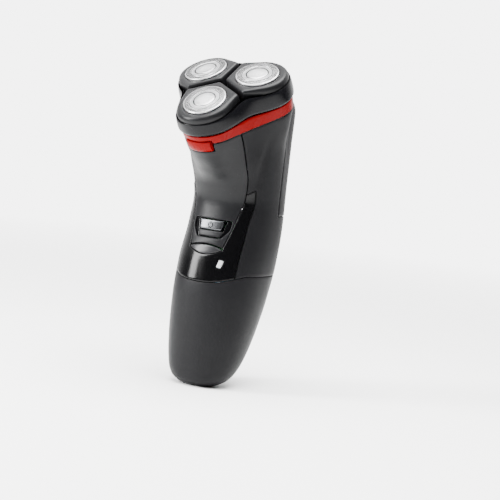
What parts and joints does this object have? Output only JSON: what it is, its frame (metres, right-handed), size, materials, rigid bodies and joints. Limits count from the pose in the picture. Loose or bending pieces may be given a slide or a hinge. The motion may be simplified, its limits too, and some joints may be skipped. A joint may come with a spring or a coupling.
{
  "type": "electric shaver",
  "caption": "Cordless rotary electric shaver: dark leaning handle, tilted head with round slotted discs in rocking holders, red collar, power key and pop-up trimmer.",
  "frame": {"origin": "centre of the flat foot under the handle", "axes": "+Z from the foot up to the middle of the head, -Y towards the power key side, +X to the right seen from the front"},
  "size_m": [0.0652, 0.0808, 0.1724],
  "materials": {
    "shell": "fine matte grain, dark grey",
    "satin": "satin, dark grey",
    "gloss": "polished black",
    "red": "smooth semi-gloss red",
    "dark": "semi-matte near black",
    "chrome": "polished",
    "steel": "brushed",
    "lens": "smoked translucent",
    "light": "milky translucent",
    "rubber": "matte",
    "board": "solder mask",
    "cell": "printed sleeve",
    "nylon": "natural moulded",
    "grey": "moulded"
  },
  "bodies": {
    "handle": {"lower_shell": "shell", "rear_shell": "shell", "front_shell": "satin", "fascia": "gloss", "indicator_lens": "lens", "charge_light": "light", "key_bezel": "gloss", "key_switch": "grey", "key_spring": "steel", "main_board": "board", "battery": "cell", "motor": "steel", "gear_plate": "nylon", "motor_screw_1": "steel", "motor_screw_2": "steel", "motor_screw_3": "steel", "charging_socket": "dark", "socket_pin_l": "chrome", "socket_pin_r": "chrome", "rim_seal": "rubber", "hair_pocket": "red", "release_spring": "steel", "head_pin": "steel", "spine_cover": "shell", "trimmer_pin": "steel"},
    "key": {"power_key": "chrome"},
    "release": {"release_tab": "red"},
    "head": {"head_frame": "dark", "retaining_plate": "grey"},
    "knob": {"lock_knob": "red"},
    "rotor": {"motor_pinion": "steel"},
    "trimmer": {"trimmer_arm": "shell", "trimmer_comb": "steel"},
    "blade": {"trimmer_blade": "steel"},
    "latch": {"trimmer_latch": "dark"},
    "pod_a": {"pod_a": "dark", "guard_a": "chrome"},
    "cutting_a": {"cutter_a": "steel"},
    "drive_a": {"gear_a": "nylon", "spindle_a": "chrome"},
    "pod_b": {"pod_b": "dark", "guard_b": "chrome"},
    "cutting_b": {"cutter_b": "steel"},
    "drive_b": {"gear_b": "nylon", "spindle_b": "chrome"},
    "pod_c": {"pod_c": "dark", "guard_c": "chrome"},
    "cutting_c": {"cutter_c": "steel"},
    "drive_c": {"gear_c": "nylon", "spindle_c": "chrome"}
  },
  "joints": [
    {"name": "power_key_press", "type": "slide", "parent": "handle", "child": "key", "axis": [0, 1, 0], "range_m": [0, 0.0008], "stiffness_N_per_m": 900, "deforming": ["key_spring"]},
    {"name": "release_press", "type": "slide", "parent": "handle", "child": "release", "axis": [0, 0.8131, 0.5821], "range_m": [0, 0.0012], "stiffness_N_per_m": 1200, "deforming": ["release_spring"]},
    {"name": "head_flip", "type": "hinge", "parent": "handle", "child": "head", "pos_m": [0, 0.02331, 0.16402], "axis": [-1, 0, 0], "range_deg": [0, 95]},
    {"name": "knob_turn", "type": "hinge", "parent": "head", "child": "knob", "pos_m": [0, 0.00052, 0.14844], "axis": [0, -0.5821, 0.8131], "range_deg": [0, 90]},
    {"name": "motor_spin", "type": "hinge", "parent": "handle", "child": "rotor", "pos_m": [0, 0.0064, 0.14023], "axis": [0, -0.5821, 0.8131], "continuous": true},
    {"name": "trimmer_flip", "type": "hinge", "parent": "handle", "child": "trimmer", "pos_m": [0, 0.041, 0.116], "axis": [-1, 0, 0], "range_deg": [0, 80]},
    {"name": "trimmer_stroke", "type": "slide", "parent": "trimmer", "child": "blade", "axis": [1, 0, 0], "range_m": [-0.0006, 0.0006]},
    {"name": "latch_slide", "type": "slide", "parent": "handle", "child": "latch", "axis": [0, 0, -1], "range_m": [0, 0.003], "stiffness_N_per_m": 300},
    {"name": "pod_a_rock", "type": "hinge", "parent": "head", "child": "pod_a", "pos_m": [0, -0.01838, 0.14426], "axis": [1, 0, 0], "range_deg": [-3, 3], "stiffness_Nm_per_rad": 0.3},
    {"name": "cutter_a_spin", "type": "hinge", "parent": "pod_a", "child": "cutting_a", "pos_m": [0, -0.01838, 0.14426], "axis": [0, -0.6508, 0.7593], "continuous": true},
    {"name": "drive_a_spin", "type": "hinge", "parent": "handle", "child": "drive_a", "pos_m": [0, -0.00808, 0.12987], "axis": [0, -0.5821, 0.8131], "continuous": true},
    {"name": "pod_b_rock", "type": "hinge", "parent": "head", "child": "pod_b", "pos_m": [0.01541, 0.00333, 0.1598], "axis": [-0.5, 0.7042, 0.5041], "range_deg": [-3, 3], "stiffness_Nm_per_rad": 0.3},
    {"name": "cutter_b_spin", "type": "hinge", "parent": "pod_b", "child": "cutting_b", "pos_m": [0.01541, 0.00333, 0.1598], "axis": [0.0755, -0.5445, 0.8354], "continuous": true},
    {"name": "drive_b_spin", "type": "hinge", "parent": "handle", "child": "drive_b", "pos_m": [0.01541, 0.01363, 0.14541], "axis": [0, -0.5821, 0.8131], "continuous": true},
    {"name": "pod_c_rock", "type": "hinge", "parent": "head", "child": "pod_c", "pos_m": [-0.01541, 0.00333, 0.1598], "axis": [-0.5, -0.7042, -0.5041], "range_deg": [-3, 3], "stiffness_Nm_per_rad": 0.3},
    {"name": "cutter_c_spin", "type": "hinge", "parent": "pod_c", "child": "cutting_c", "pos_m": [-0.01541, 0.00333, 0.1598], "axis": [-0.0755, -0.5445, 0.8354], "continuous": true},
    {"name": "drive_c_spin", "type": "hinge", "parent": "handle", "child": "drive_c", "pos_m": [-0.01541, 0.01363, 0.14541], "axis": [0, -0.5821, 0.8131], "continuous": true}
  ],
  "couplings": [
    {"joint": "cutter_a_spin", "follows": "motor_spin", "ratio": -0.75},
    {"joint": "drive_a_spin", "follows": "motor_spin", "ratio": -0.75},
    {"joint": "cutter_b_spin", "follows": "motor_spin", "ratio": -0.75},
    {"joint": "drive_b_spin", "follows": "motor_spin", "ratio": -0.75},
    {"joint": "cutter_c_spin", "follows": "motor_spin", "ratio": -0.75},
    {"joint": "drive_c_spin", "follows": "motor_spin", "ratio": -0.75}
  ]
}
